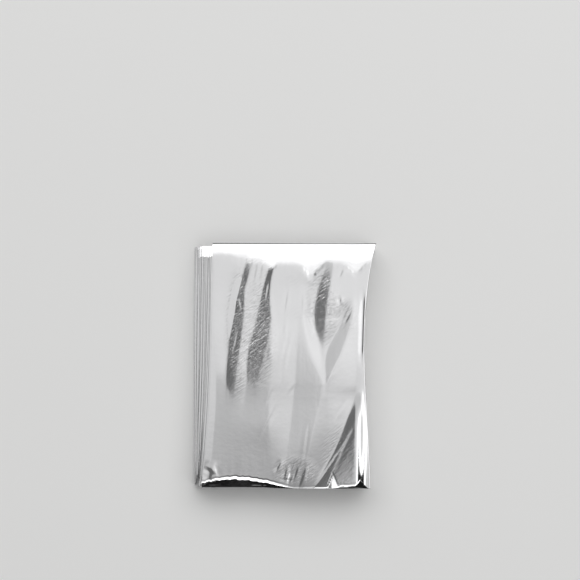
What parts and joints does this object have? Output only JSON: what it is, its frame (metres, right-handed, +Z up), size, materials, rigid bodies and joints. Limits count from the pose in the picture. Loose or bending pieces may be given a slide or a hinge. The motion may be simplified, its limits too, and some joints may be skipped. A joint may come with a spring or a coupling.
{
  "type": "folded emergency foil blanket",
  "caption": "Emergency blanket of thin metallised film, folded back and forth to a flat rectangular packet with fanned fold edges and a creased, shiny face.",
  "frame": {"origin": "on the surface that the packet lies on, under the middle of its box", "axes": "+Z up out of the packet's face, +Y to the head of the face, +X to the right of the face"},
  "size_m": [0.0793, 0.1063, 0.0165],
  "materials": {
    "metallised_film": "bright vacuum-coated aluminium on thin polyester film, mirror-like with fine creases"
  },
  "bodies": {
    "root": {"foil_blanket": "metallised_film"}
  },
  "joints": []
}
